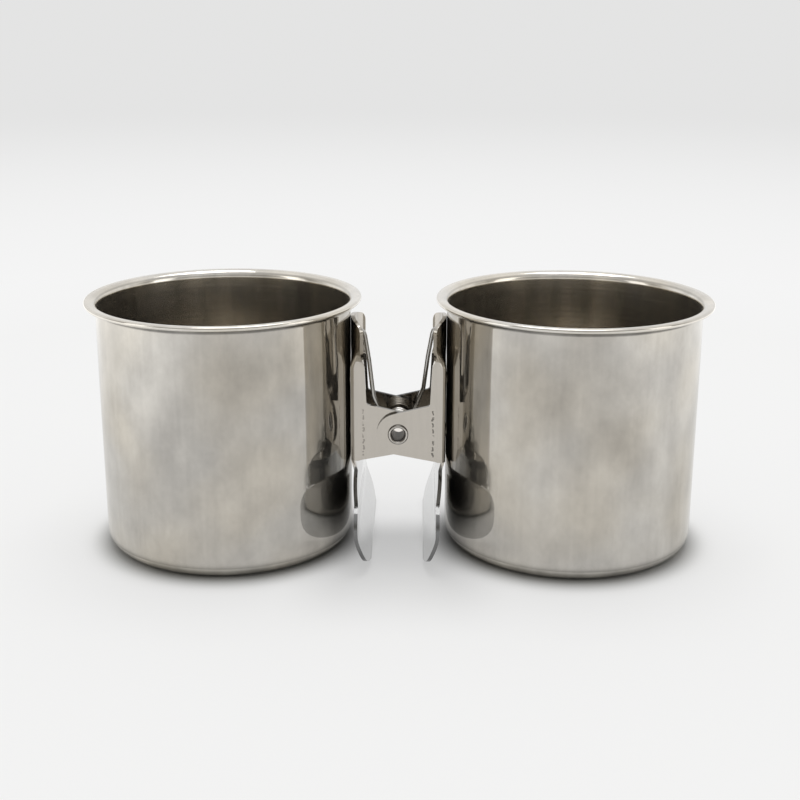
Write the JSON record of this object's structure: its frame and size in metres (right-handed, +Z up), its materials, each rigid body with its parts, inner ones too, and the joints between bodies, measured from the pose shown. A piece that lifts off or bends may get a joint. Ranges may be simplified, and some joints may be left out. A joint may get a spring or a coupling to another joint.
{
  "type": "palette cup clip",
  "caption": "Sprung two-jaw clip in pressed steel that carries a round open cup on each side of its hinge.",
  "frame": {"origin": "on the table, midway between the cups, under the hinge pin", "axes": "+X from one cup to the other, +Y away from the viewer along the hinge pin, +Z up"},
  "size_m": [0.1362, 0.06, 0.0555],
  "materials": {
    "cup_steel": "polished",
    "clip_steel": "polished",
    "rivet_steel": "bright",
    "spring_wire": "satin"
  },
  "bodies": {
    "left_side": {"cup_left": "cup_steel", "clip_half_inner": "clip_steel", "pivot_eyelet": "rivet_steel", "torsion_spring": "spring_wire"},
    "right_side": {"cup_right": "cup_steel", "clip_half_outer": "clip_steel"}
  },
  "joints": [
    {"name": "clip_hinge", "type": "hinge", "parent": "left_side", "child": "right_side", "pos_m": [0, 0, 0.02615], "axis": [0, -1, 0], "range_deg": [-24, 30], "stiffness_Nm_per_rad": 0.03, "springref_deg": -11.46, "deforming": ["torsion_spring"]}
  ]
}
